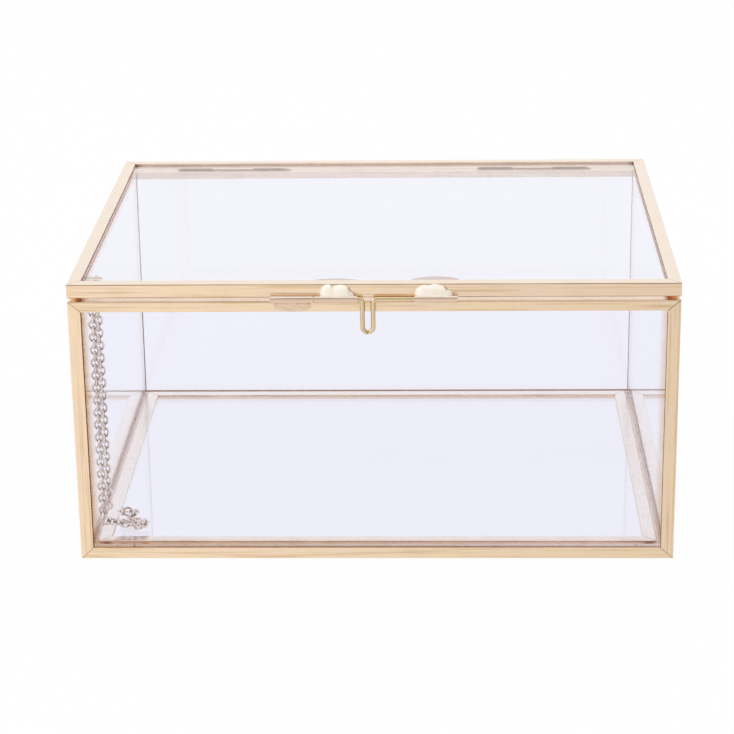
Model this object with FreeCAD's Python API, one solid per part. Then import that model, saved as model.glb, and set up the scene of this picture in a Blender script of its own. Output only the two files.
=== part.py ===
"""A glass jewelry box in a soldered brass frame, with a hinged glass lid, a slide bolt and a lid chain.

The origin is the middle of the underside. X runs to the right, Y to the back and Z up, in millimetres.
"""

import math
import os

import FreeCAD
import Part
from FreeCAD import Vector

# Overall sizes
WIDTH = 190.4
DEPTH = 150.0
BASE_HEIGHT = 87.0
LID_GAP = 1.2

# Brass sheet and clear glass
SHEET = 0.5
GLASS = 3.4
# Room round each pane for its thin bedding
GLASS_FIT = 0.05
EDGE_ROUND = 0.35

# Widths of the bent brass strips
POST_FACE = 4.0
TOP_FACE = 3.3
TOP_FLANGE = 4.0
BOTTOM_FACE = 3.7
BOTTOM_FLANGE = 8.0
LID_FLANGE = 3.9
FLOOR_STRIP = 4.2
# The floor strips lie this far from the panes
FLOOR_STRIP_INSET = 1.1

# Wire, sleeves and solder of the hinges and the bolt
PIN_WIRE = 1.5
PIN_PLAY = 0.05
PIN_RISE = 1.1
SLEEVE_SIZE = 2.2
SLEEVE_ROUND = 0.8
SLEEVE_LENGTH = 13.3
SLEEVE_GAP = 0.3
FACE_GAP = 0.1
SOLDER_LENGTH = 10.7
SOLDER_RISE = 4.5
SOLDER_DROP = 4.3
SOLDER_BULGE = 0.35

# Rear hinges; the inset runs from the end of the box to the middle of the hinge
HINGE_INSET = 40.0
PIN_HEAD = 2.0
PIN_HEAD_LENGTH = 0.6

# Front bolt: the handle is a loop of the same wire, hanging between two sleeves on the lid
HANDLE_X = -1.6
HANDLE_WIDTH = 4.8
HANDLE_DROP = 11.5
HANDLE_BEND = 1.2
BARE_WIRE = 11.65
BOLT_STOP = 0.35

# Chain of oval wire links and the hairpin eyes that hold its ends
LINK_WIRE = 0.75
LINK_LENGTH = 3.72
LINK_WIDTH = 3.3
LINK_PLAY = 0.1
STRAND_SPACING = 1.0
STRAND_WALL_GAP = 0.6
EYE_WIRE = 0.6
EYE_SPREAD = 2.3
EYE_FOOT = 2.6
EYE_CLEARANCE = 0.15
LID_EYE_SETBACK = 11.8
BASE_EYE_SETBACK = 16.4
PILE_HEIGHT = 4.4
CHAIN_END_GAP = 0.3
# The heap on the floor, run by run: its bearing from +X, its climb and its links
PILE_BEARING_DEGREES = (3.0, 82.0, 168.0, 78.0, 176.0, 275.0)
PILE_CLIMB_DEGREES = (-10.0, -8.0, -4.0, 0.0, 0.0, 24.0)
PILE_LINK_COUNTS = (6, 2, 3, 4, 2, 5)

# Levels and places worked out from the sizes above
LID_HEIGHT = GLASS + 2 * SHEET + 2 * GLASS_FIT
LID_BOTTOM = BASE_HEIGHT + LID_GAP
LID_TOP = LID_BOTTOM + LID_HEIGHT
PANE_OUTER = SHEET + GLASS_FIT
PANE_INNER = PANE_OUTER + GLASS
FLOOR_EDGE = PANE_INNER + GLASS_FIT
PANE_FOOT = SHEET + GLASS_FIT
FLOOR_TOP = PANE_FOOT + GLASS
STRIP_FOOT = FLOOR_TOP + GLASS_FIT
PIN_HEIGHT = BASE_HEIGHT + PIN_RISE
SLEEVE_HALF = SLEEVE_SIZE / 2
PIN_OFFSET = SLEEVE_HALF + FACE_GAP
HINGE_Y = DEPTH / 2 + PIN_OFFSET
BOLT_Y = -DEPTH / 2 - PIN_OFFSET
AXIS_X = Vector(1, 0, 0)
AXIS_Y = Vector(0, 1, 0)
AXIS_Z = Vector(0, 0, 1)
DOWN = Vector(0, 0, -1)

# Each side as the way it runs, its length and its distance from the middle
SIDES = {
    "front": (AXIS_X, WIDTH, DEPTH / 2),
    "right": (AXIS_Y, DEPTH, WIDTH / 2),
    "back": (AXIS_X * -1, WIDTH, DEPTH / 2),
    "left": (AXIS_Y * -1, DEPTH, WIDTH / 2),
}


# Small helpers

def box(x0, x1, y0, y1, z0, z1):
    return Part.makeBox(x1 - x0, y1 - y0, z1 - z0, Vector(x0, y0, z0))


def rod(start, end, diameter):
    run = end - start
    return Part.makeCylinder(diameter / 2, run.Length, start, run)


def outline(corners, place):
    """A face through square corners (a, b, rounding); place turns (a, b) into a point."""
    points = [Vector(a, b, 0) for a, b, _ in corners]
    edges = []
    ends = []
    for i, (_, _, radius) in enumerate(corners):
        here = points[i]
        back = (points[i - 1] - here).normalize()
        ahead = (points[(i + 1) % len(points)] - here).normalize()
        start = here + back * radius
        end = here + ahead * radius
        ends.append((start, end))
        if radius:
            middle = here + (back + ahead) * (radius * (1 - math.sqrt(0.5)))
            arc = [place(p.x, p.y) for p in (start, middle, end)]
            edges.append(Part.Arc(*arc).toShape())
    for i, (start, _) in enumerate(ends):
        before = ends[i - 1][1]
        edges.append(Part.LineSegment(place(before.x, before.y), place(start.x, start.y)).toShape())
    return Part.Face(Part.Wire(Part.__sortEdges__(edges)))


def trim(shape, point, normal):
    """Takes away all that lies beyond the plane through point, on the side that normal points to."""
    size = 2 * (WIDTH + DEPTH + LID_TOP)
    block = Part.makeBox(size, size, size, Vector(-size / 2, -size / 2, 0))
    block.Placement = FreeCAD.Placement(point, FreeCAD.Rotation(AXIS_Z, normal))
    return shape.cut(block)


def on_side(shape, side):
    """Carries a piece drawn on the front edge, with its outer face at Y 0, to its side of the box."""
    along, _, reach = SIDES[side]
    inwards = AXIS_Z.cross(along)
    turn = FreeCAD.Rotation(along, inwards, AXIS_Z, "XYZ")
    return shape.transformed(FreeCAD.Placement(inwards * -reach, turn).toMatrix())


def mitred_strip(corners, side):
    """A strip with the outline (inwards, up, rounding) along one side, cut at 45 degrees in plan."""
    span = SIDES[side][1]
    face = outline(corners, lambda inwards, up: Vector(-span / 2, inwards, up))
    strip = face.extrude(Vector(span, 0, 0))
    for end in (-1, 1):
        strip = trim(strip, Vector(end * span / 2, 0, 0), Vector(end, 1, 0))
    return strip


# Brass frame of the base

def bottom_rail(side):
    corners = (
        (0, 0, EDGE_ROUND),
        (BOTTOM_FLANGE, 0, 0),
        (BOTTOM_FLANGE, SHEET, 0),
        (SHEET, SHEET, 0),
        (SHEET, BOTTOM_FACE, 0),
        (0, BOTTOM_FACE, 0),
    )
    strip = mitred_strip(corners, side)
    half = SIDES[side][1] / 2
    for end in (-1, 1):
        strip = trim(strip, Vector(end * half, 0, 0), Vector(end / POST_FACE, 0, 1 / BOTTOM_FACE))
    return on_side(strip, side)


def top_rail(side):
    top = BASE_HEIGHT
    corners = (
        (0, top, EDGE_ROUND),
        (TOP_FLANGE, top, 0),
        (TOP_FLANGE, top - SHEET, 0),
        (SHEET, top - SHEET, 0),
        (SHEET, top - TOP_FACE, 0),
        (0, top - TOP_FACE, 0),
    )
    strip = mitred_strip(corners, side)
    half = SIDES[side][1] / 2
    for end in (-1, 1):
        strip = trim(strip, Vector(end * half, 0, top), Vector(end / POST_FACE, 0, -1 / TOP_FACE))
    return on_side(strip, side)


def post(mirror_x, mirror_y):
    """A corner post, drawn at the front left and mirrored to its corner."""
    corners = (
        (0, 0, EDGE_ROUND),
        (POST_FACE, 0, 0),
        (POST_FACE, SHEET, 0),
        (SHEET, SHEET, 0),
        (SHEET, POST_FACE, 0),
        (0, POST_FACE, 0),
    )
    corner = Vector(-WIDTH / 2, -DEPTH / 2, 0)
    angle = outline(corners, lambda a, b: corner + Vector(a, b, 0)).extrude(Vector(0, 0, BASE_HEIGHT))
    for a, b in ((1, 0), (0, 1)):
        slope = Vector(a / POST_FACE, b / POST_FACE, 0)
        angle = trim(angle, corner, slope - AXIS_Z * (1 / BOTTOM_FACE))
        angle = trim(angle, corner + AXIS_Z * BASE_HEIGHT, slope + AXIS_Z * (1 / TOP_FACE))
    if mirror_x:
        angle = angle.mirror(Vector(0, 0, 0), AXIS_X)
    if mirror_y:
        angle = angle.mirror(Vector(0, 0, 0), AXIS_Y)
    return angle


def floor_strip(side):
    outer = FLOOR_EDGE + FLOOR_STRIP_INSET
    inner = outer + FLOOR_STRIP
    top = STRIP_FOOT + SHEET
    corners = (
        (outer, STRIP_FOOT, 0),
        (inner, STRIP_FOOT, 0),
        (inner, top, EDGE_ROUND),
        (outer, top, EDGE_ROUND),
    )
    return on_side(mitred_strip(corners, side), side)


# Glass of the base

def wall_pane(side):
    """The front and back panes run the full width, and the side panes stand between them."""
    _, span, _ = SIDES[side]
    ends = PANE_OUTER if side in ("front", "back") else PANE_INNER + GLASS_FIT
    half = span / 2 - ends
    pane = box(-half, half, PANE_OUTER, PANE_INNER, PANE_FOOT, BASE_HEIGHT - PANE_FOOT)
    return on_side(pane, side)


def bottom_pane():
    half_x = WIDTH / 2 - FLOOR_EDGE
    half_y = DEPTH / 2 - FLOOR_EDGE
    return box(-half_x, half_x, -half_y, half_y, PANE_FOOT, FLOOR_TOP)


# Lid

def lid_rail(side):
    corners = (
        (0, LID_BOTTOM, EDGE_ROUND),
        (LID_FLANGE, LID_BOTTOM, 0),
        (LID_FLANGE, LID_BOTTOM + SHEET, 0),
        (SHEET, LID_BOTTOM + SHEET, 0),
        (SHEET, LID_TOP - SHEET, 0),
        (LID_FLANGE, LID_TOP - SHEET, 0),
        (LID_FLANGE, LID_TOP, 0),
        (0, LID_TOP, EDGE_ROUND),
    )
    return on_side(mitred_strip(corners, side), side)


def lid_pane():
    half_x = WIDTH / 2 - PANE_OUTER
    half_y = DEPTH / 2 - PANE_OUTER
    bottom = LID_BOTTOM + PANE_FOOT
    return box(-half_x, half_x, -half_y, half_y, bottom, bottom + GLASS)


# Sleeves bent round the wire, and the solder that holds them to the strips

def sleeve_block(x, y):
    half = SLEEVE_HALF
    corners = [(a * half, b * half, SLEEVE_ROUND) for a, b in ((-1, -1), (1, -1), (1, 1), (-1, 1))]
    face = outline(corners, lambda a, b: Vector(x, y + a, PIN_HEIGHT + b))
    return face.extrude(Vector(SLEEVE_LENGTH, 0, 0))


def sleeve(x, y):
    bore = PIN_WIRE + 2 * PIN_PLAY
    start = Vector(x, y, PIN_HEIGHT)
    return sleeve_block(x, y).cut(rod(start, start + AXIS_X * SLEEVE_LENGTH, bore))


def solder(x, y, rise):
    """A bead from the sleeve at x up (rise over 0) or down the strip's outer face beside it."""
    outwards = math.copysign(1, y)
    upwards = math.copysign(1, rise)
    middle = x + SLEEVE_LENGTH / 2
    start = middle - SOLDER_LENGTH / 2

    def place(out, up):
        return Vector(start, y + outwards * (out - PIN_OFFSET), PIN_HEIGHT + upwards * up)

    crest = place(PIN_OFFSET, SLEEVE_HALF)
    foot = place(0, abs(rise))
    bulge = place(PIN_OFFSET / 2 + SOLDER_BULGE, (abs(rise) + SLEEVE_HALF) / 2)
    edges = [
        Part.LineSegment(foot, place(0, 0)).toShape(),
        Part.LineSegment(place(0, 0), place(PIN_OFFSET, 0)).toShape(),
        Part.LineSegment(place(PIN_OFFSET, 0), crest).toShape(),
        Part.Arc(crest, bulge, foot).toShape(),
    ]
    bead = Part.Face(Part.Wire(edges)).extrude(Vector(SOLDER_LENGTH, 0, 0))
    return bead.cut(sleeve_block(x, y))


# Rear hinges: two sleeves on the base, one between them on the lid, and a headed pin

def hinge(middle):
    step = SLEEVE_LENGTH + SLEEVE_GAP
    left, centre, right = (middle - SLEEVE_LENGTH / 2 + i * step for i in (-1, 0, 1))
    start = Vector(left, HINGE_Y, PIN_HEIGHT)
    end = Vector(right + SLEEVE_LENGTH, HINGE_Y, PIN_HEIGHT)
    pin = rod(start, end, PIN_WIRE)
    for tip, way in ((start, -1), (end, 1)):
        pin = pin.fuse(rod(tip, tip + AXIS_X * (way * PIN_HEAD_LENGTH), PIN_HEAD))
    return {
        "pin": pin.removeSplitter(),
        "base_sleeves": Part.makeCompound([sleeve(left, HINGE_Y), sleeve(right, HINGE_Y)]),
        "base_solder": Part.makeCompound([solder(x, HINGE_Y, -SOLDER_DROP) for x in (left, right)]),
        "lid_sleeve": sleeve(centre, HINGE_Y),
        "lid_solder": solder(centre, HINGE_Y, SOLDER_RISE),
    }


# Front bolt: a wire with a hanging loop slides in two sleeves on the lid and into a catch on the base

LEG_OFFSET = (HANDLE_WIDTH - PIN_WIRE) / 2
HANDLE_LEFT = HANDLE_X - LEG_OFFSET - HANDLE_BEND
HANDLE_RIGHT = HANDLE_X + LEG_OFFSET + HANDLE_BEND
SLEEVE_RIGHT_X = HANDLE_RIGHT + BARE_WIRE
SLEEVE_LEFT_X = HANDLE_LEFT - BOLT_STOP - SLEEVE_LENGTH
CATCH_X = SLEEVE_LEFT_X - SLEEVE_GAP - SLEEVE_LENGTH
BOLT_TRAVEL = BARE_WIRE - BOLT_STOP


def bolt_rods():
    """The wire's two straight ends; slid right by BOLT_TRAVEL, the left one leaves the catch."""
    free_end = CATCH_X + SLEEVE_LENGTH - BOLT_TRAVEL + BOLT_STOP
    ends = ((free_end, HANDLE_LEFT), (HANDLE_RIGHT, SLEEVE_RIGHT_X + SLEEVE_LENGTH))
    rods = [rod(Vector(a, BOLT_Y, PIN_HEIGHT), Vector(b, BOLT_Y, PIN_HEIGHT), PIN_WIRE) for a, b in ends]
    return Part.makeCompound(rods)


def bolt_handle():
    """The loop: a bend down from each rod, two legs and a half turn at the bottom."""
    left = HANDLE_X - LEG_OFFSET
    right = HANDLE_X + LEG_OFFSET
    top = PIN_HEIGHT
    shoulder = top - HANDLE_BEND
    inset = HANDLE_BEND * (1 - math.sqrt(0.5))
    turn = top - HANDLE_DROP + PIN_WIRE / 2 + LEG_OFFSET

    def at(x, z):
        return Vector(x, BOLT_Y, z)

    path = [
        Part.Arc(at(HANDLE_LEFT, top), at(left - inset, top - inset), at(left, shoulder)),
        Part.LineSegment(at(left, shoulder), at(left, turn)),
        Part.Arc(at(left, turn), at(HANDLE_X, turn - LEG_OFFSET), at(right, turn)),
        Part.LineSegment(at(right, turn), at(right, shoulder)),
        Part.Arc(at(right, shoulder), at(right + inset, top - inset), at(HANDLE_RIGHT, top)),
    ]
    section = Part.Wire(Part.makeCircle(PIN_WIRE / 2, at(HANDLE_LEFT, top), AXIS_X))
    return Part.Wire([edge.toShape() for edge in path]).makePipeShell([section], True, False)


# Chain

LINK_PITCH = LINK_LENGTH - 2 * LINK_WIRE - LINK_PLAY
LINK_INNER = LINK_LENGTH / 2 - LINK_WIRE
LID_STRAND_X = -WIDTH / 2 + TOP_FLANGE + STRAND_WALL_GAP + LINK_WIDTH / 2
BASE_STRAND_X = LID_STRAND_X + STRAND_SPACING
LID_BAR = Vector(
    LID_STRAND_X,
    -DEPTH / 2 + LID_EYE_SETBACK,
    LID_BOTTOM + SHEET - EYE_CLEARANCE - LINK_WIRE - LINK_PLAY - EYE_WIRE / 2,
)
BASE_BAR = Vector(BASE_STRAND_X, -DEPTH / 2 + BASE_EYE_SETBACK, BASE_HEIGHT + EYE_WIRE / 2)
HINGE_AXIS = Vector(0, HINGE_Y, PIN_HEIGHT)


def eye(bar, strip_level):
    """A flat wire hairpin with its legs soldered to the left strip; the chain hangs on the rear leg."""
    radius = EYE_SPREAD / 2
    root = -WIDTH / 2 + TOP_FLANGE - EYE_FOOT
    tip = bar.x + LINK_WIRE
    rear, middle, front = (Vector(tip, bar.y - i * radius, bar.z) for i in (0, 1, 2))
    path = [
        Part.LineSegment(Vector(root, rear.y, bar.z), rear),
        Part.Arc(rear, middle + AXIS_X * radius, front),
        Part.LineSegment(front, Vector(root, front.y, bar.z)),
    ]
    section = Part.Wire(Part.makeCircle(EYE_WIRE / 2, Vector(root, rear.y, bar.z), AXIS_X))
    hairpin = Part.Wire([edge.toShape() for edge in path]).makePipeShell([section], True, False)
    low, high = sorted((bar.z, strip_level))
    for leg in (rear, front):
        foot = box(root, root + EYE_FOOT, leg.y - EYE_WIRE / 2, leg.y + EYE_WIRE / 2, low, high)
        hairpin = hairpin.fuse(foot)
    return hairpin.removeSplitter()


def oval_link():
    """One link about the origin, long along X and lying in the XY plane."""
    bow = (LINK_WIDTH - LINK_WIRE) / 2
    half = (LINK_LENGTH - LINK_WIDTH) / 2
    path = [
        Part.LineSegment(Vector(-half, -bow, 0), Vector(half, -bow, 0)),
        Part.Arc(Vector(half, -bow, 0), Vector(half + bow, 0, 0), Vector(half, bow, 0)),
        Part.LineSegment(Vector(half, bow, 0), Vector(-half, bow, 0)),
        Part.Arc(Vector(-half, bow, 0), Vector(-half - bow, 0, 0), Vector(-half, -bow, 0)),
    ]
    section = Part.Wire(Part.makeCircle(LINK_WIRE / 2, Vector(-half, -bow, 0), AXIS_X))
    return Part.Wire([edge.toShape() for edge in path]).makePipeShell([section], True, False)


LINK = oval_link()


def chain_run(hook, direction, first_normal, last_width, count, hook_wire):
    """Links from a hook along direction, each a quarter turn from the last.

    The first link's plane is square to first_normal. A small even twist brings the width of the last one
    to last_width, so that the next run folds about its end. Returns the links and the next hook.
    """
    width = first_normal.cross(direction)
    step = math.pi / 2
    if last_width is not None:
        wanted = math.atan2(width.cross(last_width).dot(direction), width.dot(last_width))
        step += math.remainder(wanted - step * (count - 1), math.pi) / (count - 1)
    links = []
    hook_radius = hook_wire / 2
    for i in range(count):
        centre = hook + direction * (LINK_INNER - hook_radius - LINK_PLAY)
        across = FreeCAD.Rotation(direction, math.degrees(i * step)).multVec(width)
        link = LINK.copy()
        turn = FreeCAD.Rotation(direction, across, direction.cross(across), "XYZ")
        link.Placement = FreeCAD.Placement(centre, turn)
        links.append(link)
        hook = centre + direction * (LINK_INNER + LINK_WIRE / 2)
        hook_radius = LINK_WIRE / 2
    return Part.makeCompound(links), hook


def heading(bearing, climb):
    flat = math.cos(math.radians(climb))
    bearing = math.radians(bearing)
    return Vector(flat * math.cos(bearing), flat * math.sin(bearing), math.sin(math.radians(climb)))


def strand_count(bar, level):
    return int((bar.z - level) / LINK_PITCH)


def fold(start, goal):
    """The axis and the angle that turn one direction into another."""
    return start.cross(goal).normalize(), math.degrees(start.getAngle(goal))


def lid_opening(chain_length):
    """The lid's angle where the chain is straight between its two eyes."""
    lid_arm = LID_BAR - HINGE_AXIS
    base_arm = BASE_BAR - HINGE_AXIS
    sideways = lid_arm.x - base_arm.x
    lid_radius = math.hypot(lid_arm.y, lid_arm.z)
    base_radius = math.hypot(base_arm.y, base_arm.z)
    squares = lid_radius**2 + base_radius**2 + sideways**2 - chain_length**2
    between = math.degrees(math.acos(squares / (2 * lid_radius * base_radius)))
    at_rest = math.degrees(math.asin(lid_arm.z / lid_radius) - math.asin(base_arm.z / base_radius))
    return between - at_rest


def chain():
    """The chain's rigid runs, and the joints (hook, axis, angle) that draw it straight as the lid opens."""
    heap_top = STRIP_FOOT + SHEET + PILE_HEIGHT
    lid_count = strand_count(LID_BAR, heap_top)
    base_count = strand_count(BASE_BAR, heap_top)
    headings = zip(PILE_BEARING_DEGREES, PILE_CLIMB_DEGREES)
    directions = [DOWN] + [heading(bearing, climb) for bearing, climb in headings]
    counts = [lid_count, *PILE_LINK_COUNTS]
    axes = [fold(ahead, behind)[0] for behind, ahead in zip(directions, directions[1:])]
    runs = {}
    joints = {}
    hook = LID_BAR
    for i, count in enumerate(counts):
        name = f"chain_fold_{i}" if i else "chain_lid_strand"
        first_normal = axes[i - 1] if i else AXIS_X
        last_width = axes[i] if i < len(axes) else None
        if i:
            joints[name] = (hook, *fold(directions[i], directions[i - 1]))
        hook_wire = LINK_WIRE if i else EYE_WIRE
        runs[name], hook = chain_run(hook, directions[i], first_normal, last_width, count, hook_wire)
    runs["chain_base_strand"], _ = chain_run(BASE_BAR, DOWN, AXIS_X, None, base_count, EYE_WIRE)

    length = (sum(counts) + base_count) * LINK_PITCH - (EYE_WIRE - LINK_WIRE) + LINK_WIRE + CHAIN_END_GAP
    opening = lid_opening(length)
    lid_turn = FreeCAD.Rotation(AXIS_X, -opening)
    open_bar = HINGE_AXIS + lid_turn.multVec(LID_BAR - HINGE_AXIS)
    taut = (BASE_BAR - open_bar).normalize()
    joints["chain_lid_strand"] = (LID_BAR, *fold(DOWN, lid_turn.inverted().multVec(taut)))
    joints["chain_base_strand"] = (BASE_BAR, *fold(DOWN, taut * -1))
    return runs, joints, opening


# The whole box

def build():
    nodes = {}
    for side in SIDES:
        nodes[f"bottom_rail_{side}"] = bottom_rail(side)
        nodes[f"top_rail_{side}"] = top_rail(side)
        nodes[f"wall_pane_{side}"] = wall_pane(side)
        nodes[f"floor_strip_{side}"] = floor_strip(side)
        nodes[f"lid_rail_{side}"] = lid_rail(side)
    for depth_name, mirror_y in (("front", False), ("back", True)):
        for width_name, mirror_x in (("left", False), ("right", True)):
            nodes[f"post_{depth_name}_{width_name}"] = post(mirror_x, mirror_y)
    nodes["bottom_pane"] = bottom_pane()
    nodes["lid_pane"] = lid_pane()
    hinge_middle = WIDTH / 2 - HINGE_INSET
    for name, middle in (("left", -hinge_middle), ("right", hinge_middle)):
        for piece, shape in hinge(middle).items():
            nodes[f"hinge_{piece}_{name}"] = shape
    nodes["catch_sleeve"] = sleeve(CATCH_X, BOLT_Y)
    nodes["catch_solder"] = solder(CATCH_X, BOLT_Y, -SOLDER_DROP)
    for name, x in (("left", SLEEVE_LEFT_X), ("right", SLEEVE_RIGHT_X)):
        nodes[f"bolt_sleeve_{name}"] = sleeve(x, BOLT_Y)
        nodes[f"bolt_solder_{name}"] = solder(x, BOLT_Y, SOLDER_RISE)
    nodes["bolt_rods"] = bolt_rods()
    nodes["bolt_handle"] = bolt_handle()
    nodes["chain_eye_lid"] = eye(LID_BAR, LID_BOTTOM)
    nodes["chain_eye_base"] = eye(BASE_BAR, BASE_HEIGHT)
    runs, joints, opening = chain()
    nodes.update(runs)
    return nodes, joints, opening


def main():
    nodes, joints, opening = build()
    os.makedirs("parts", exist_ok=True)
    for name, shape in nodes.items():
        if not shape.isValid():
            raise ValueError(f"{name} is not a valid solid")
        shape.exportStep(f"parts/{name}.step")
    print(f"bolt axis {BOLT_Y:.4f} {PIN_HEIGHT:.4f}, travel {BOLT_TRAVEL:.3f}; hinge axis {HINGE_Y:.4f}")
    print(f"the lid opens {opening:.4f} degrees")
    for name, (hook, axis, angle) in joints.items():
        point = " ".join(f"{value:.5f}" for value in hook)
        way = " ".join(f"{value:.8f}" for value in axis)
        print(f"{name} hook {point} axis {way} angle {angle:.5f}")


if __name__ == "__main__":
    main()
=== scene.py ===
"""Finishes for a clear glass jewelry box in a soldered brass frame, with a white studio round it.

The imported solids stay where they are. This script gives them their finishes, models the lumps of solder
that hold the sleeves, and builds the stage: floor, light and camera. Lengths are in metres.
"""

import math

import bpy
from mathutils import Matrix, Vector


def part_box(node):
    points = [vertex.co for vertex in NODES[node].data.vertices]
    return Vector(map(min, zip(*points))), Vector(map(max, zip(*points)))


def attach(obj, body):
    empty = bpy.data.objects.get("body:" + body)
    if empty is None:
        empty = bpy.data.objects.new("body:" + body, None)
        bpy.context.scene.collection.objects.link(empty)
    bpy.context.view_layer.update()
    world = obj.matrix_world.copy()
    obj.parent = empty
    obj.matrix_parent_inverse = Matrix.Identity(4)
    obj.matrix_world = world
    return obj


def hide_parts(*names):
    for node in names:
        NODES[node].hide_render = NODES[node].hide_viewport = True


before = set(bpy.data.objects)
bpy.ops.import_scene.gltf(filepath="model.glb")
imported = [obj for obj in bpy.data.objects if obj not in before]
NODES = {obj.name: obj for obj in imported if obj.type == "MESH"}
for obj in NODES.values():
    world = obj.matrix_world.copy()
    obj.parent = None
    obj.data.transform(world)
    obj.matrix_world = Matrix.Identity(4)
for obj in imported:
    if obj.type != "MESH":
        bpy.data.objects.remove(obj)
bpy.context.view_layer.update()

bl_info = {
    "name": "Glass jewelry box",
    "version": (1, 0, 0),
    "blender": (4, 5, 0),
    "location": "View3D > Sidebar > Jewelry box",
    "description": "Finishes, solder and stage for a glass jewelry box in a brass frame",
    "category": "Object",
}

MM = 0.001
BASE_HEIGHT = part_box("top_rail_front")[1][2]

# Lumps of each front bead in mm: start and end from the solid's left end, how proud of the lid's face,
# and how far under the solid's top
SOLDER_LUMPS = {
    "left": ((0.4, 5.4, 2.0, 0.0), (3.6, 10.2, 1.9, 0.1), (0.6, 11.2, 1.8, 1.3)),
    "right": ((-1.2, 5.2, 2.0, 0.2), (0.8, 9.2, 2.1, 0.0), (-1.2, 10.8, 1.9, 1.2)),
}
# How far the foot of a front bead lies below the top of its sleeve
BEAD_FOOT_DROP = 1.6 * MM
# How far the flat back of a bead lies inside the brass that it sits on
BEAD_SINK = 0.25 * MM
# How much longer and deeper the lower half of a lump is than its upper half
LUMP_FOOT = (1.08, 1.12, 1)

# The film under the catch: how far it goes past its solid's ends, out of the strip's face and into it,
# below its solid, and up behind the sleeve
CATCH_FILM = {"past": 0.6 * MM, "out": 0.4 * MM, "into": 0.2 * MM, "below": 0.1 * MM, "behind": 0.3 * MM}
# The runs on the lid's glass: how far they go past the bead's solid on each side, under the strip,
# and up and down from the top of the glass
GLASS_RUN = {"left": 2.4 * MM, "right": 2.0 * MM, "under": 2.0 * MM, "up_and_down": 0.3 * MM}
# How far solder has run over the glass behind each front bead
GLASS_RUN_DEPTH = {"left": 3.1 * MM, "right": 4.8 * MM}
# The ends of a film: how far from its middle they begin, as a share of its length, and how they narrow
FILM_END = 0.4
FILM_TAPER = (1, 0.45, 0.6)

# The cells and the rounds of smoothing that melt lumps into one bead, and the width and height of its grain
MELT_CELL = 0.14 * MM
MELT_ROUNDS = 24
GRAIN_WIDTH = 1.3 * MM
GRAIN_HEIGHT = 0.22 * MM

# Roughness of each metal but that of the strips, which is a property, and the strength of each one's bumps
ROUGHNESS = {"sleeve": 0.4, "wire": 0.14, "chain": 0.16, "solder": 0.4}
BUMPS = {"strip": 0.12, "sleeve": 0.15, "wire": 0.06, "chain": 0.05, "solder": 0.4}
BUMP_DEPTH = 0.4 * MM
# How metallic solder looks where it is dull, in lumps and on glass, and in a thin film on brass
DULL_METALLIC = 0.1
FILM_METALLIC = 1.0
# Scale of the drawing marks along a piece; across it the scale is 1
DRAWN_SCALE = 0.02
# Width of the worn edges, and how far their colour goes towards white
EDGE_WIDTH = 0.3 * MM
EDGE_RUB = 0.25
# The lacquer over the metal
LACQUER = {"Coat Weight": 0.5, "Coat Roughness": 0.2}
# Width of the seams at the mitres, and a distance at which nothing of a seam shows
SEAM_WIDTH = 0.24 * MM
NO_SEAM = 1.0 * MM
# How far in from the outer edges the seams of the flat tops begin and are full, and how far past the posts
# the seams of the upright faces fade out
TOP_SEAM_BEGINS = 0.3 * MM
TOP_SEAM_FULL = 0.45 * MM
FACE_SEAM_END = 0.2 * MM
# How near another surface has to be to make a crevice
CREVICE_REACH = 1.0 * MM

GLASS_IOR = 1.5
# Roughness of the glass where it was ground, and where it is smeared most
GROUND_ROUGHNESS = 0.06
SMEAR_ROUGHNESS = 0.03
# How wide the painted shade shows at the front pane's rims, and how full it is at the right end; at the
# left end it is 1
RIM_WIDTH = 2.4 * MM
RIM_RIGHT = 0.6

# How often light may turn on its way along the inside of a pane
LIGHT_BOUNCES = 96
FLOOR_SIZE = 12.0
FLOOR_GREY = (0.92, 0.92, 0.92, 1)
WHITE = (1, 1, 1, 1)
# How far to each side of the middle the level of the mirrored floor changes
FLOOR_FADE = 0.16
# The dark room in front, which metal mirrors: the Y of the ways where it begins and is full, and its level
ROOM_BEGINS = -0.5
ROOM_FULL = -0.9
ROOM_LEVEL = 0.3
# The softboxes: place, size, and whether metal and glass show them
SOFTBOXES = {
    "overhead_softbox": ((0.0, 0.15, 1.6), 1.6, False),
    "left_softbox": ((-1.5, -0.8, 0.9), 1.0, True),
}
LAMP_AIM = Vector((0, 0, 0.05))
SENSOR_WIDTH = 36.0

# The brass strips by the way that they run, which their brushing follows
STRIPS_ALONG = {
    "x": ("rail_front", "rail_back", "strip_front", "strip_back"),
    "y": ("rail_left", "rail_right", "strip_left", "strip_right"),
    "z": ("post_",),
}
# The strips whose flat tops get a painted sheen, a paler colour where they face up towards the light, with
# the finish that they go to
PAINTED_SHEEN_TOPS = {"lid_rail": "brass_painted_sheen", "floor_strip": "brass_pale_and_painted_sheen"}
# The panes by the way that they face
PANES_FACING = {
    "x": ("wall_pane_left", "wall_pane_right"),
    "y": ("wall_pane_front", "wall_pane_back"),
    "z": ("lid_pane", "bottom_pane"),
}
# The pane with painted shade at its rims
RIM_SHADED_PANE = "wall_pane_front"


# Properties

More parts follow.
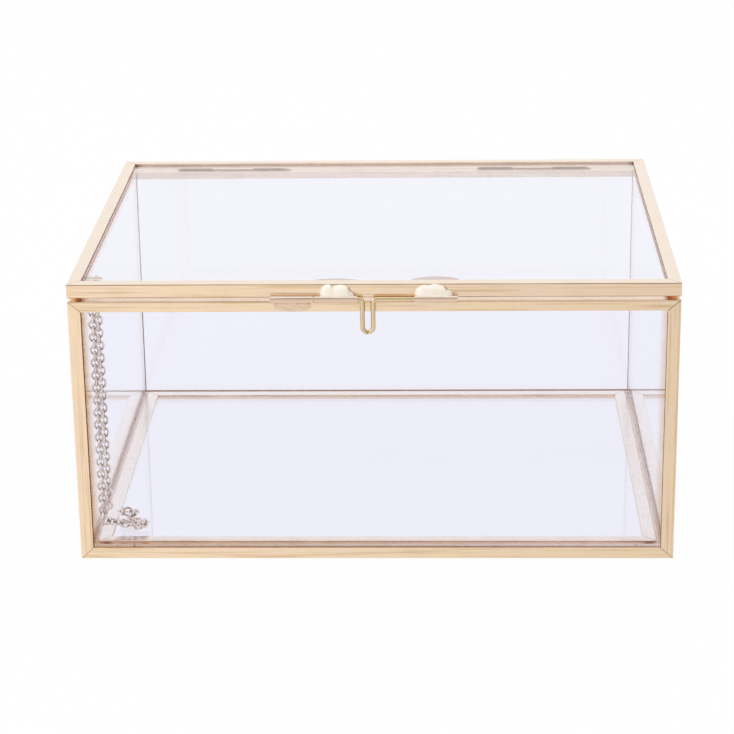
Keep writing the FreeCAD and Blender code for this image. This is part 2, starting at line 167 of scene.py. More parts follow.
class JewelryBoxFinishes(bpy.types.PropertyGroup):
    """Colours and gloss of the brass, wire, chain, solder and glass"""

    brass: bpy.props.FloatVectorProperty(
        name="Brass", description="Satin champagne brass of the strips", subtype="COLOR",
        size=3, min=0, max=1, default=(0.97, 0.75, 0.49),
    )
    brass_streak: bpy.props.FloatVectorProperty(
        name="Brass streaks", description="Rosier tone in long streaks along the strips", subtype="COLOR",
        size=3, min=0, max=1, default=(0.97, 0.73, 0.56),
    )
    brass_line: bpy.props.FloatVectorProperty(
        name="Brass lines", description="Darker gold of the fine drawing lines", subtype="COLOR",
        size=3, min=0, max=1, default=(0.72, 0.49, 0.26),
    )
    # Painted sheen: the paler colour that the lid's flat tops go to where they face up towards the light
    brass_painted_sheen: bpy.props.FloatVectorProperty(
        name="Rubbed brass", description="Paler brass of the lid's tops", subtype="COLOR",
        size=3, min=0, max=1, default=(0.90, 0.76, 0.62),
    )
    # Palest brass: a painted sheen on the floor strips' and the sleeves' flat tops, and a pale streak tone
    # on the chain links
    brass_pale_and_painted_sheen: bpy.props.FloatVectorProperty(
        name="Pale brass", description="Palest brass, of the floor strips' and the sleeves' tops",
        subtype="COLOR", size=3, min=0, max=1, default=(0.99, 0.92, 0.84),
    )
    sleeve: bpy.props.FloatVectorProperty(
        name="Sleeves", description="Rosier brass of the sleeves round the wire", subtype="COLOR",
        size=3, min=0, max=1, default=(0.82, 0.60, 0.45),
    )
    # Brown of the mitred seams, and of the painted shade at the bends and between the links
    tarnish_and_shade: bpy.props.FloatVectorProperty(
        name="Tarnish", description="Brown in the mitred seams and between the links", subtype="COLOR",
        size=3, min=0, max=1, default=(0.22, 0.12, 0.06),
    )
    wire: bpy.props.FloatVectorProperty(
        name="Wire", description="Polished brass wire of the bolt, pins and eyes", subtype="COLOR",
        size=3, min=0, max=1, default=(0.72, 0.57, 0.34),
    )
    # Olive of the drawing lines along the wire, and of the painted shade on the handle's flanks
    wire_line_and_flank_shade: bpy.props.FloatVectorProperty(
        name="Wire lines", description="Olive lines along the wire", subtype="COLOR",
        size=3, min=0, max=1, default=(0.40, 0.29, 0.10),
    )
    chain: bpy.props.FloatVectorProperty(
        name="Chain", description="Pale plating of the chain links", subtype="COLOR",
        size=3, min=0, max=1, default=(0.76, 0.64, 0.57),
    )
    solder: bpy.props.FloatVectorProperty(
        name="Solder", description="Pale solder in lumps", subtype="COLOR",
        size=3, min=0, max=1, default=(0.99, 0.91, 0.80),
    )
    solder_film: bpy.props.FloatVectorProperty(
        name="Solder film", description="Thin rosy solder on the strip under the catch", subtype="COLOR",
        size=3, min=0, max=1, default=(0.93, 0.69, 0.49),
    )
    solder_run: bpy.props.FloatVectorProperty(
        name="Solder on glass", description="Dull grey solder that has run over the glass", subtype="COLOR",
        size=3, min=0, max=1, default=(0.56, 0.46, 0.43),
    )
    # Painted shade: the brown that the right-hand ends of the solder go to, on the side away from the light
    solder_end_shade: bpy.props.FloatVectorProperty(
        name="Flux", description="Brown flux burnt on at one end of the solder", subtype="COLOR",
        size=3, min=0, max=1, default=(0.42, 0.24, 0.11),
    )
    glass: bpy.props.FloatVectorProperty(
        name="Glass", description="What one pane lets through", subtype="COLOR",
        size=3, min=0, max=1, default=(0.935, 0.935, 0.985),
    )
    # Painted shade: the brown that the front pane lets through at its rims, standing in for the shaded
    # brass behind its edges
    rim_shade: bpy.props.FloatVectorProperty(
        name="Bedding",
        description="What the front pane lets through at its rims, where its brown bedding shows",
        subtype="COLOR", size=3, min=0, max=1, default=(0.68, 0.43, 0.20),
    )
    brass_roughness: bpy.props.FloatProperty(
        name="Brass roughness", description="How satin the strips are", subtype="FACTOR",
        min=0, max=1, default=0.24,
    )


class JewelryBoxStage(bpy.types.PropertyGroup):
    """Camera and light of the studio"""

    camera_place: bpy.props.FloatVectorProperty(
        name="Camera", description="Where the camera stands", subtype="TRANSLATION", unit="LENGTH",
        size=3, default=(0.02177, -0.77406, 0.31505),
    )
    camera_down: bpy.props.FloatProperty(
        name="Down", description="How far the camera looks down", subtype="ANGLE", unit="ROTATION",
        default=0.34280,
    )
    camera_left: bpy.props.FloatProperty(
        name="Left", description="How far the camera looks to the left", subtype="ANGLE", unit="ROTATION",
        default=0.03413,
    )
    camera_roll: bpy.props.FloatProperty(
        name="Roll", description="Turn of the camera about its own line of sight", subtype="ANGLE",
        unit="ROTATION", default=0.01406,
    )
    lens: bpy.props.FloatProperty(
        name="Lens", description="Focal length on a 36 mm sensor", unit="CAMERA", default=116.56,
    )
    sky: bpy.props.FloatProperty(
        name="Sky", description="Strength of the even light from all round", min=0, default=0.86,
    )
    lamp: bpy.props.FloatProperty(
        name="Lamps", description="Power of each softbox", unit="POWER", min=0, default=5.0,
    )
    floor_glow: bpy.props.FloatProperty(
        name="White floor", description="Share of the floor's white that no shadow touches",
        subtype="FACTOR", min=0, max=1, default=0.95,
    )
    floor_mirrored_left: bpy.props.FloatProperty(
        name="Mirrored floor, left",
        description="Level at which metal and glass mirror the floor on the left",
        subtype="FACTOR", min=0, max=1, default=1.0,
    )
    floor_mirrored_right: bpy.props.FloatProperty(
        name="Mirrored floor, right", description="The same level on the right, away from the light",
        subtype="FACTOR", min=0, max=1, default=0.78,
    )


# Materials

# The input for the place on a piece, which most groups have
PLACE = ("Place", "NodeSocketVector", (0, 0, 0))


def new_material(name):
    """A new material, its node tree and its Principled shader."""
    material = bpy.data.materials.new(name)
    material.use_nodes = True
    tree = material.node_tree
    return material, tree, tree.nodes["Principled BSDF"]


def add(tree, kind, **settings):
    """A new node with its settings by name."""
    node = tree.nodes.new(kind)
    for key, value in settings.items():
        setattr(node, key, value)
    return node


def feed(tree, source, socket):
    """Links a socket to its source, or sets it if the source is a plain value."""
    if isinstance(source, bpy.types.NodeSocket):
        tree.links.new(source, socket)
    else:
        socket.default_value = source


def colour4(colour):
    """A colour with full opacity."""
    return (*colour, 1.0)


def new_group(name, inputs, outputs):
    """An empty shader node group with (name, kind, default) inputs and (name, kind) outputs."""
    group = bpy.data.node_groups.new(name, "ShaderNodeTree")
    for socket, kind, default in inputs:
        made = group.interface.new_socket(name=socket, in_out="INPUT", socket_type=kind)
        made.default_value = default
    for socket, kind in outputs:
        group.interface.new_socket(name=socket, in_out="OUTPUT", socket_type=kind)
    return group, group.nodes.new("NodeGroupInput"), group.nodes.new("NodeGroupOutput")


def noise(tree, vector, scale, detail):
    """Cloudy noise over a vector."""
    node = add(tree, "ShaderNodeTexNoise")
    node.inputs["Scale"].default_value = scale
    node.inputs["Detail"].default_value = detail
    tree.links.new(vector, node.inputs["Vector"])
    return node.outputs["Fac"]


def spread(tree, value, low, high, to_low=0.0, to_high=1.0):
    """Stretches a value from low..high to to_low..to_high, clamped."""
    node = add(tree, "ShaderNodeMapRange")
    for socket, number in zip(("From Min", "From Max", "To Min", "To Max"), (low, high, to_low, to_high)):
        node.inputs[socket].default_value = number
    tree.links.new(value, node.inputs["Value"])
    return node.outputs["Result"]


def blend_colours(tree, factor, first, second):
    """A colour that goes from the first to the second, each a socket or a plain colour."""
    node = add(tree, "ShaderNodeMix", data_type="RGBA")
    tree.links.new(factor, node.inputs["Factor"])
    for source, socket in ((first, "A"), (second, "B")):
        feed(tree, source, next(s for s in node.inputs if s.name == socket and s.type == "RGBA"))
    return next(s for s in node.outputs if s.type == "RGBA")


def arithmetic(tree, operation, first, second=0.0):
    """An operation on one or two numbers, each a socket or a plain number."""
    node = add(tree, "ShaderNodeMath", operation=operation)
    feed(tree, first, node.inputs[0])
    feed(tree, second, node.inputs[1])
    return node.outputs["Value"]


def dot_product(tree, first, second):
    """1 where two directions are the same, 0 where they are square to one another."""
    node = add(tree, "ShaderNodeVectorMath", operation="DOT_PRODUCT")
    tree.links.new(first, node.inputs[0])
    tree.links.new(second, node.inputs[1])
    return node.outputs["Value"]


def components(tree, vector):
    """The X, Y and Z of a vector."""
    split = add(tree, "ShaderNodeSeparateXYZ")
    tree.links.new(vector, split.inputs["Vector"])
    return split.outputs


def own_normal(tree):
    """The way that a surface faces, by the axes of its piece."""
    return add(tree, "ShaderNodeTexCoord").outputs["Normal"]


def patchy(tree, mask, place, scale, detail, found, strength):
    """A mask made uneven: noise found between two values sets its strength between two others."""
    uneven = spread(tree, noise(tree, place, scale, detail), *found, *strength)
    return arithmetic(tree, "MULTIPLY", mask, uneven)


def drawn_metal_group():
    """Drawn sheet or wire: long streaks of tone, fine brush lines and shallow dents along the piece."""
    group, given, result = new_group(
        "Drawn metal",
        (
            ("Along", "NodeSocketVector", (0, 0, 0)),
            PLACE,
            ("Colour", "NodeSocketColor", WHITE),
            ("Streak", "NodeSocketColor", WHITE),
            ("Line", "NodeSocketColor", WHITE),
            ("Roughness", "NodeSocketFloat", 0.3),
        ),
        (
            ("Colour", "NodeSocketColor"),
            ("Roughness", "NodeSocketFloat"),
            ("Height", "NodeSocketFloat"),
        ),
    )
    along = given.outputs["Along"]
    place = given.outputs["Place"]
    streaks = spread(group, noise(group, along, scale=900, detail=3), 0.35, 0.65)
    patches = spread(group, noise(group, place, scale=55, detail=4), 0.36, 0.66)
    tone = arithmetic(group, "MULTIPLY", arithmetic(group, "ADD", streaks, patches), 0.5)
    colour = blend_colours(group, tone, given.outputs["Colour"], given.outputs["Streak"])
    lines = spread(group, noise(group, along, scale=1500, detail=2), 0.52, 0.72, 0.0, 0.75)
    colour = blend_colours(group, lines, colour, given.outputs["Line"])
    brush = noise(group, along, scale=4200, detail=2)
    smear = noise(group, place, scale=120, detail=3)
    rough = given.outputs["Roughness"]
    for marks, change in ((brush, 0.05), (smear, 0.06)):
        rough = arithmetic(group, "ADD", rough, spread(group, marks, 0.3, 0.7, -change, change))
    dents = noise(group, place, scale=170, detail=2)
    height = arithmetic(group, "ADD", arithmetic(group, "MULTIPLY", brush, 0.12), dents)
    for name, value in (("Colour", colour), ("Roughness", rough), ("Height", height)):
        group.links.new(value, result.inputs[name])
    return group


def edge_wear_group():
    """A mask of the edges, where handling has rubbed the metal brighter."""
    group, given, result = new_group(
        "Edge wear",
        (PLACE, ("Width", "NodeSocketFloat", EDGE_WIDTH)),
        (("Edge", "NodeSocketFloat"),),
    )
    rounded = add(group, "ShaderNodeBevel", samples=4)
    group.links.new(given.outputs["Width"], rounded.inputs["Radius"])
    plain_normal = add(group, "ShaderNodeNewGeometry").outputs["Normal"]
    edge = spread(group, dot_product(group, rounded.outputs["Normal"], plain_normal), 0.99, 0.8)
    worn = patchy(
        group, edge, given.outputs["Place"], scale=90, detail=3, found=(0.35, 0.6), strength=(0.35, 1.0)
    )
    group.links.new(worn, result.inputs["Edge"])
    return group


def painted_sheen_flat_group():
    """A mask of the faces that face up, which get a painted sheen: a paler colour that stands in for the
    light on them.
    """
    group, given, result = new_group("Painted sheen on flats", (PLACE,), (("Flat", "NodeSocketFloat"),))
    facing_up = spread(group, components(group, own_normal(group))["Z"], 0.45, 0.9)
    flat = patchy(
        group, facing_up, given.outputs["Place"], scale=70, detail=4, found=(0.3, 0.7), strength=(0.8, 1.0)
    )
    group.links.new(flat, result.inputs["Flat"])
    return group


def bend_shade_group():
    """A mask of painted shade: a fine dark line where a strip's face turns into its bend."""
    group, given, result = new_group("Painted bend shade", (PLACE,), (("Bend", "NodeSocketFloat"),))
    tilt = arithmetic(group, "ABSOLUTE", components(group, own_normal(group))["Z"])
    begins = spread(group, tilt, 0.03, 0.15)
    ends = spread(group, tilt, 0.8, 0.6)
    line = arithmetic(group, "MULTIPLY", begins, ends)
    line = patchy(
        group, line, given.outputs["Place"], scale=60, detail=3, found=(0.3, 0.7), strength=(0.35, 0.9)
    )
    group.links.new(line, result.inputs["Bend"])
    return group


def mitre_seam_group():
    """A mask of the fine lines where the strips meet, in plan and across the faces at the corners."""
    half_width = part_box("top_rail_front")[1][0]
    half_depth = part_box("top_rail_right")[1][1]
    post_face = half_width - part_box("post_front_right")[0][0]
    top_face = BASE_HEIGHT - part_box("top_rail_front")[0][2]
    bottom_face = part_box("bottom_rail_front")[1][2]
    group, given, result = new_group(
        "Mitre seams",
        (PLACE, ("Width", "NodeSocketFloat", SEAM_WIDTH)),
        (("Seam", "NodeSocketFloat"),),
    )
    place = components(group, given.outputs["Place"])
    from_end = arithmetic(group, "SUBTRACT", half_width, arithmetic(group, "ABSOLUTE", place["X"]))
    from_side = arithmetic(group, "SUBTRACT", half_depth, arithmetic(group, "ABSOLUTE", place["Y"]))
    in_plan = arithmetic(group, "ABSOLUTE", arithmetic(group, "SUBTRACT", from_end, from_side))
    off_edge = arithmetic(group, "MINIMUM", from_end, from_side)
    on_edge = spread(group, off_edge, TOP_SEAM_BEGINS, TOP_SEAM_FULL, NO_SEAM, 0.0)
    distance = arithmetic(group, "ADD", in_plan, on_edge)
    across = arithmetic(group, "MAXIMUM", from_end, from_side)
    past_post = spread(group, across, post_face, post_face + FACE_SEAM_END, 0.0, NO_SEAM)
    drop = arithmetic(group, "SUBTRACT", BASE_HEIGHT, place["Z"])
    for face, reach in ((top_face, drop), (bottom_face, place["Z"])):
        slant = arithmetic(group, "MULTIPLY", across, face / post_face)
        line = arithmetic(group, "ABSOLUTE", arithmetic(group, "SUBTRACT", slant, reach))
        line = arithmetic(group, "ADD", line, past_post)
        distance = arithmetic(group, "MINIMUM", distance, line)
    share = arithmetic(group, "DIVIDE", distance, given.outputs["Width"])
    group.links.new(spread(group, share, 1.0, 0.4), result.inputs["Seam"])
    return group


def crevice_tarnish_and_shade_group():
    """A mask of the places between the links and inside their bows: partly tarnish that a cloth doesn't
    reach, partly painted shade where little light falls.
    """
    group, given, result = new_group(
        "Crevice tarnish and shade", (("Reach", "NodeSocketFloat", CREVICE_REACH),), (("Crevice", "NodeSocketFloat"),)
    )
    hollow = add(group, "ShaderNodeAmbientOcclusion", samples=8, only_local=True)
    group.links.new(given.outputs["Reach"], hollow.inputs["Distance"])
    group.links.new(spread(group, hollow.outputs["AO"], 0.95, 0.45), result.inputs["Crevice"])
    return group


def end_shade_group():
    """A mask of the right-hand slopes of a bead, painted brown as shade on the side away from the light."""
    group, given, result = new_group("Painted end shade", (PLACE,), (("Shaded end", "NodeSocketFloat"),))
    slope = spread(group, components(group, own_normal(group))["X"], 0.35, 0.7)
    end_shade = patchy(
        group, slope, given.outputs["Place"], scale=700, detail=3, found=(0.35, 0.6), strength=(0.3, 0.9)
    )
    group.links.new(end_shade, result.inputs["Shaded end"])
    return group


def shaded_flank_group():
    """A mask of the left and right flanks of an upright wire, which get painted shade."""
    group, given, result = new_group("Shaded flanks", (PLACE,), (("Flank", "NodeSocketFloat"),))
    sideways = arithmetic(group, "ABSOLUTE", components(group, own_normal(group))["X"])
    flank = patchy(
        group, spread(group, sideways, 0.45, 0.95), given.outputs["Place"],
        scale=150, detail=3, found=(0.3, 0.7), strength=(0.5, 0.9),
    )
    group.links.new(flank, result.inputs["Flank"])
    return group


def rim_shade_group():
    """A mask of painted shade at the front pane's rims inside the posts and above the bottom rail, fuller
    on the left.
    """
    half_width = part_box("top_rail_front")[1][0]
    post_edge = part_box("post_front_right")[0][0]
    rail_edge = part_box("bottom_rail_front")[1][2]
    group, given, result = new_group(
        "Painted rim shade",
        (PLACE, ("Width", "NodeSocketFloat", RIM_WIDTH)),
        (("Rim", "NodeSocketFloat"),),
    )
    place = components(group, given.outputs["Place"])
    from_post = arithmetic(group, "SUBTRACT", post_edge, arithmetic(group, "ABSOLUTE", place["X"]))
    from_rail = arithmetic(group, "SUBTRACT", place["Z"], rail_edge)
    nearest = arithmetic(group, "MINIMUM", from_post, from_rail)
    rim = spread(group, arithmetic(group, "DIVIDE", nearest, given.outputs["Width"]), 1.0, 0.2)
    fullness = spread(group, place["X"], -half_width, half_width, 1.0, RIM_RIGHT)
    rim = patchy(
        group, arithmetic(group, "MULTIPLY", rim, fullness), given.outputs["Place"],
        scale=220, detail=3, found=(0.3, 0.7), strength=(0.7, 1.0),
    )
    group.links.new(rim, result.inputs["Rim"])
    return group


def ground_edge_group():
    """Roughness of a pane: polished faces with faint smears, and dull edges where it was cut and ground."""
    group, given, result = new_group(
        "Ground edges",
        (PLACE, ("Facing", "NodeSocketVector", (0, 0, 1))),
        (("Roughness", "NodeSocketFloat"),),
    )
    facing = dot_product(group, own_normal(group), given.outputs["Facing"])
    edge = spread(group, arithmetic(group, "ABSOLUTE", facing), 0.9, 0.5, 0.0, GROUND_ROUGHNESS)
    clouds = noise(group, given.outputs["Place"], scale=28, detail=5)
    smears = spread(group, clouds, 0.55, 0.8, 0.0, SMEAR_ROUGHNESS)
    group.links.new(arithmetic(group, "MAXIMUM", edge, smears), result.inputs["Roughness"])
    return group


GROUPS = {
    "Drawn metal": drawn_metal_group,
    "Edge wear": edge_wear_group,
    "Painted sheen on flats": painted_sheen_flat_group,
    "Painted bend shade": bend_shade_group,
    "Mitre seams": mitre_seam_group,
    "Crevice tarnish and shade": crevice_tarnish_and_shade_group,
    "Painted end shade": end_shade_group,
    "Shaded flanks": shaded_flank_group,
    "Painted rim shade": rim_shade_group,
    "Ground edges": ground_edge_group,
}


def use_group(tree, name):
    """A node that holds one of the shared groups, which is built the first time."""
    group = bpy.data.node_groups.get(name) or GROUPS[name]()
    return add(tree, "ShaderNodeGroup", node_tree=group)


def metal_material(name, along, colours, roughness, bump, tints=(), metallic=1.0):
    """Metal drawn along an axis in three tones, with worn edges; tints are (group, mask, colour) on top."""
    material, tree, shader = new_material(name)
    place = add(tree, "ShaderNodeTexCoord").outputs["Object"]
    stretch = add(tree, "ShaderNodeMapping")
    stretch.inputs["Scale"].default_value = [DRAWN_SCALE if axis == along else 1.0 for axis in "xyz"]
    tree.links.new(place, stretch.inputs["Vector"])
    metal = use_group(tree, "Drawn metal")
    for socket, tone in zip(("Colour", "Streak", "Line"), colours):
        metal.inputs[socket].default_value = colour4(tone)
    metal.inputs["Roughness"].default_value = roughness
    tree.links.new(stretch.outputs["Vector"], metal.inputs["Along"])
    tree.links.new(place, metal.inputs["Place"])
    colour = metal.outputs["Colour"]
    rubbed = [(1 - EDGE_RUB) * channel + EDGE_RUB for channel in colours[0]]
    for group, mask, target in (*tints, ("Edge wear", "Edge", rubbed)):
        effect = use_group(tree, group)
        if "Place" in effect.inputs:
            tree.links.new(place, effect.inputs["Place"])
        colour = blend_colours(tree, effect.outputs[mask], colour, colour4(target))
    tree.links.new(colour, shader.inputs["Base Color"])
    tree.links.new(metal.outputs["Roughness"], shader.inputs["Roughness"])
    relief = add(tree, "ShaderNodeBump")
    relief.inputs["Strength"].default_value = bump
    relief.inputs["Distance"].default_value = BUMP_DEPTH
    tree.links.new(metal.outputs["Height"], relief.inputs["Height"])
    tree.links.new(relief.outputs["Normal"], shader.inputs["Normal"])
    shader.inputs["Metallic"].default_value = metallic
    for socket, value in LACQUER.items():
        shader.inputs[socket].default_value = value
    return material


def glass_material(name, facing, finishes, rim_shaded):
    """Clear float glass for a pane that faces along an axis, with painted shade at its rims where asked
    for.
    """
    material, tree, shader = new_material(name)
    place = add(tree, "ShaderNodeTexCoord").outputs["Object"]
    glass = colour4(finishes.glass)
    shader.inputs["Transmission Weight"].default_value = 1.0
    shader.inputs["IOR"].default_value = GLASS_IOR
    shader.inputs["Base Color"].default_value = glass
    if rim_shaded:
        rim = use_group(tree, "Painted rim shade")
        tree.links.new(place, rim.inputs["Place"])
        seen_through = blend_colours(tree, rim.outputs["Rim"], glass, colour4(finishes.rim_shade))
        tree.links.new(seen_through, shader.inputs["Base Color"])
    surface = use_group(tree, "Ground edges")
    surface.inputs["Facing"].default_value = [float(axis == facing) for axis in "xyz"]
    tree.links.new(place, surface.inputs["Place"])
    tree.links.new(surface.outputs["Roughness"], shader.inputs["Roughness"])
    clear = add(tree, "ShaderNodeBsdfTransparent")
    clear.inputs["Color"].default_value = glass
    path = add(tree, "ShaderNodeLightPath")
    pass_light = add(tree, "ShaderNodeMixShader")
    tree.links.new(path.outputs["Is Shadow Ray"], pass_light.inputs["Fac"])
    tree.links.new(shader.outputs["BSDF"], pass_light.inputs[1])
    tree.links.new(clear.outputs["BSDF"], pass_light.inputs[2])
    tree.links.new(pass_light.outputs["Shader"], tree.nodes["Material Output"].inputs["Surface"])
    return material


def give(piece, material):
    """Puts one material on a piece in place of any others."""
    piece.data.materials.clear()
    piece.data.materials.append(material)


def nodes_named(what, test):
    """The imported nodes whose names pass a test, of which there has to be one or more."""
    found = [node for name, node in NODES.items() if test(name)]
    if not found:
        raise RuntimeError(f"the frame has no {what}")
    return found


# Modelling

def pick(piece, test):
    """Selects the points of a piece whose place in the scene passes a test, and ends in edit mode."""
    bpy.ops.object.mode_set(mode="EDIT")
    bpy.ops.mesh.select_mode(type="VERT")
    bpy.ops.mesh.select_all(action="DESELECT")
    bpy.ops.object.mode_set(mode="OBJECT")
    for point in piece.data.vertices:
        point.select = test(piece.matrix_world @ point.co)
    bpy.ops.object.mode_set(mode="EDIT")


def finish_with(piece, kind, **settings):
    """Adds a modifier to a piece and applies it."""
    modifier = piece.modifiers.new(kind.title(), kind)
    for key, value in settings.items():
        setattr(modifier, key, value)
    bpy.context.view_layer.objects.active = piece
    bpy.ops.object.modifier_apply(modifier=modifier.name)


def dome(low, high, back):
    """A round lump in a box, fuller at its foot than at its top, and flat where it reaches its back."""
    bpy.ops.object.select_all(action="DESELECT")
    middle = (low + high) / 2
    size = high - low
    bpy.ops.mesh.primitive_uv_sphere_add(segments=32, ring_count=20, radius=0.5, location=middle)
    piece = bpy.context.object
    bpy.ops.object.mode_set(mode="EDIT")
    bpy.ops.transform.resize(value=size, center_override=middle)
    pick(piece, lambda place: place.z < middle.z)
    bpy.ops.transform.resize(value=LUMP_FOOT, center_override=middle)
    pick(piece, lambda place: place.y > back)
    bpy.ops.transform.resize(value=(1, 0, 1), center_override=(0, back, 0))
    bpy.ops.object.mode_set(mode="OBJECT")
    return piece


def film(low, high):
    """A thin run in a box, with tapered ends."""
    bpy.ops.object.select_all(action="DESELECT")
    middle = (low + high) / 2
    size = high - low
    bpy.ops.mesh.primitive_cube_add(size=1, location=middle)
    piece = bpy.context.object
    bpy.ops.object.mode_set(mode="EDIT")
    bpy.ops.transform.resize(value=size, center_override=middle)
    bpy.ops.mesh.subdivide(number_cuts=2)
    for end in (-1, 1):
        pick(piece, lambda place: end * (place.x - middle.x) > FILM_END * size.x)
        bpy.ops.transform.resize(value=FILM_TAPER, center_override=middle)
    bpy.ops.object.mode_set(mode="OBJECT")
    finish_with(piece, "SUBSURF", levels=3, render_levels=3)
    return piece


def joined(pieces):
    """Makes one piece of several."""
    bpy.ops.object.select_all(action="DESELECT")
    for piece in pieces:
        piece.select_set(True)
    bpy.context.view_layer.objects.active = pieces[0]
    if len(pieces) > 1:
        bpy.ops.object.join()
    return bpy.context.object


def run_together(name, lumps):
    """Melts lumps into one grainy bead, with its place in its mesh."""
    bead = joined(lumps)
    bead.name = name
    finish_with(bead, "REMESH", mode="VOXEL", voxel_size=MELT_CELL)
    finish_with(bead, "SMOOTH", factor=0.5, iterations=MELT_ROUNDS)
    grain = bpy.data.textures.get("solder_grain") or bpy.data.textures.new("solder_grain", "CLOUDS")
    grain.noise_scale = GRAIN_WIDTH
    finish_with(bead, "DISPLACE", texture=grain, texture_coords="GLOBAL", strength=GRAIN_HEIGHT)
    bpy.ops.object.transform_apply(location=True, rotation=True, scale=True)
    bpy.ops.object.shade_smooth()
    return bead


def turned_copy(piece, name, axis, height):
    """A copy with its own mesh, half a turn round an axis through the middle of the box at a height."""
    bpy.ops.object.select_all(action="DESELECT")
    piece.select_set(True)
    bpy.context.view_layer.objects.active = piece
    bpy.ops.object.duplicate(linked=False)
    copy = bpy.context.object
    copy.name = name
    bpy.ops.transform.rotate(value=math.pi, orient_axis=axis, center_override=(0, 0, height))
    return copy


def shift_selected(along_x):
    """Moves the selected piece along X, and takes its place and turn into its mesh."""
    bpy.ops.transform.translate(value=(along_x, 0, 0))
    bpy.ops.object.transform_apply(location=True, rotation=True, scale=True)


# Operators

class JEWELRYBOX_OT_brass(bpy.types.Operator):
    """Satin champagne brass for the rails, posts and floor strips"""

    bl_idname = "jewelrybox.brass"
    bl_label = "Brass strips"

    def execute(self, context):
        finishes = context.scene.jewelry_box_finishes
        colours = (finishes.brass, finishes.brass_streak, finishes.brass_line)
        seams = ("Mitre seams", "Seam", finishes.tarnish_and_shade)
        # Painted shade: a fine dark line along the bends of the lid rails and floor strips
        bend_shade = ("Painted bend shade", "Bend", finishes.tarnish_and_shade)
        tints = {"base": (seams,)}
        for kind, finish in PAINTED_SHEEN_TOPS.items():
            # Painted sheen on the flat tops and painted shade at the bends, with the mitre seams
            tints[kind] = (("Painted sheen on flats", "Flat", getattr(finishes, finish)), bend_shade, seams)
        for along, parts in STRIPS_ALONG.items():
            strips = {}
            for name, node in NODES.items():
                if any(part in name for part in parts):
                    kind = next((kind for kind in PAINTED_SHEEN_TOPS if name.startswith(kind)), "base")
                    strips.setdefault(kind, []).append(node)
            if not strips:
                raise RuntimeError(f"the frame has no brass strips along {along}")
            for kind, nodes in strips.items():
                label = f"champagne_brass_{kind}_{along}"
                material = metal_material(
                    label, along, colours, finishes.brass_roughness, BUMPS["strip"], tints[kind]
                )
                for node in nodes:
                    give(node, material)
        return {"FINISHED"}


class JEWELRYBOX_OT_sleeves(bpy.types.Operator):
    """Rosier brass for the sleeves of the bolt and the hinges"""

    bl_idname = "jewelrybox.sleeves"
    bl_label = "Sleeves"

    def execute(self, context):
        finishes = context.scene.jewelry_box_finishes
        colours = (finishes.sleeve, finishes.brass_streak, finishes.brass_line)
        # Painted sheen: the sleeves' tops are paler where they face up
        tints = (("Painted sheen on flats", "Flat", finishes.brass_pale_and_painted_sheen),)
        material = metal_material(
            "sleeve_brass", "x", colours, ROUGHNESS["sleeve"], BUMPS["sleeve"], tints
        )
        for node in nodes_named("sleeves", lambda name: "sleeve" in name):
            give(node, material)
        return {"FINISHED"}


class JEWELRYBOX_OT_wire(bpy.types.Operator):
    """Polished brass wire for the bolt, the hinge pins and the chain's eyes"""

    bl_idname = "jewelrybox.wire"
    bl_label = "Brass wire"

    def execute(self, context):
        finishes = context.scene.jewelry_box_finishes
        colours = (finishes.wire, finishes.brass, finishes.wire_line_and_flank_shade)
        # Painted shade on the flanks of the upright handle
        shaded = (("Shaded flanks", "Flank", finishes.wire_line_and_flank_shade),)
        for along, names, tints in (
            ("x", ("bolt_rods", "hinge_pin", "chain_eye"), ()),
            ("z", ("bolt_handle",), shaded),
        ):
            material = metal_material(
                f"brass_wire_{along}", along, colours, ROUGHNESS["wire"], BUMPS["wire"], tints
            )
            for node in nodes_named(f"wire along {along}", lambda name: name.startswith(names)):
                give(node, material)
        return {"FINISHED"}


class JEWELRYBOX_OT_chain(bpy.types.Operator):
    """Pale plated links for the chain"""

    bl_idname = "jewelrybox.chain"
    bl_label = "Chain"

    def execute(self, context):
        finishes = context.scene.jewelry_box_finishes
        colours = (finishes.chain, finishes.brass_pale_and_painted_sheen, finishes.tarnish_and_shade)
        # Darker between the links: partly tarnish, partly painted shade
        tints = (("Crevice tarnish and shade", "Crevice", finishes.tarnish_and_shade),)
        material = metal_material("plated_links", "z", colours, ROUGHNESS["chain"], BUMPS["chain"], tints)
        for node in nodes_named("links", lambda name: name.startswith("chain_") and "eye" not in name):
            give(node, material)
        return {"FINISHED"}


class JEWELRYBOX_OT_glass(bpy.types.Operator):
    """Clear glass for the walls, the floor and the lid"""

    bl_idname = "jewelrybox.glass"
    bl_label = "Glass panes"

    def execute(self, context):
        finishes = context.scene.jewelry_box_finishes
        for facing, panes in PANES_FACING.items():
            material = glass_material(f"clear_glass_{facing}", facing, finishes, False)
            for pane in panes:
                give(NODES[pane], material)
        # The front pane gets painted shade at its rims
        give(NODES[RIM_SHADED_PANE], glass_material("clear_glass_rim_shaded", "y", finishes, True))
        return {"FINISHED"}


